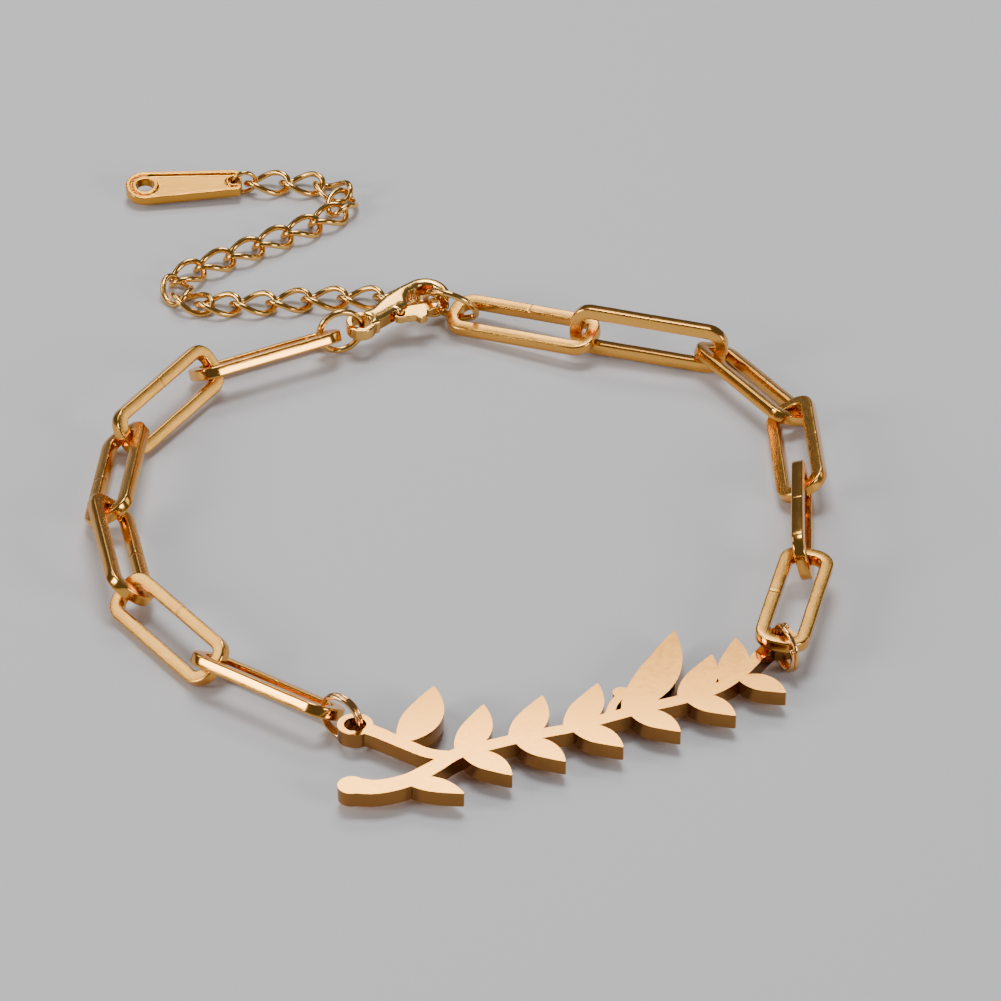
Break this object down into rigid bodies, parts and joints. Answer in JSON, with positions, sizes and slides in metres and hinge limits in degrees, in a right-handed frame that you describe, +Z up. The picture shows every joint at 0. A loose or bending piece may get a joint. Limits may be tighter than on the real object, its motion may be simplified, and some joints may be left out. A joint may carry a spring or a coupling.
{
  "type": "bracelet",
  "caption": "Gold-coloured paperclip-link bracelet lying closed, with a cut-out sprig plate, a lobster clasp with a sprung lever, an adjusting chain and a flat end tag.",
  "frame": {"origin": "centre of the laid-out bracelet's outline, on the surface that it lies on", "axes": "+Z up from the surface, +Y from the plate towards the clasp and the adjusting chain, +X to the right of the plate as it is read"},
  "size_m": [0.053, 0.0798, 0.0043],
  "materials": {
    "link_gold": "gold-plated, satin on the flat faces and bright on the edges",
    "plate_gold": "gold-plated, fine satin face and polished walls",
    "fitting_gold": "gold-plated, polished",
    "tag_gold": "gold-plated, polished rim round a satin field"
  },
  "bodies": {
    "bracelet": {"nameplate": "plate_gold", "ring_name_left": "fitting_gold", "ring_name_right": "fitting_gold", "ring_clasp": "fitting_gold", "ring_end": "fitting_gold", "ring_tag": "fitting_gold", "clasp_body": "fitting_gold", "end_tag": "tag_gold", "link_left_1": "link_gold", "link_left_2": "link_gold", "link_left_3": "link_gold", "link_left_4": "link_gold", "link_left_5": "link_gold", "link_left_6": "link_gold", "link_right_1": "link_gold", "link_right_2": "link_gold", "link_right_3": "link_gold", "link_right_4": "link_gold", "link_right_5": "link_gold", "link_right_6": "link_gold", "extender_link_1": "fitting_gold", "extender_link_2": "fitting_gold", "extender_link_3": "fitting_gold", "extender_link_4": "fitting_gold", "extender_link_5": "fitting_gold", "extender_link_6": "fitting_gold", "extender_link_7": "fitting_gold", "extender_link_8": "fitting_gold", "extender_link_9": "fitting_gold", "extender_link_10": "fitting_gold", "extender_link_11": "fitting_gold", "extender_link_12": "fitting_gold", "extender_link_13": "fitting_gold", "extender_link_14": "fitting_gold", "extender_link_15": "fitting_gold", "extender_link_16": "fitting_gold", "extender_link_17": "fitting_gold", "extender_link_18": "fitting_gold", "extender_link_19": "fitting_gold"},
    "lever": {"clasp_lever": "fitting_gold"}
  },
  "joints": [
    {"name": "clasp_lever_hinge", "type": "hinge", "parent": "bracelet", "child": "lever", "pos_m": [-0.00436, 0.01762, 0.00212], "axis": [0.0531, -0.1533, 0.9867], "range_deg": [0, 12], "stiffness_Nm_per_rad": 0.003, "springref_deg": -20.05}
  ]
}
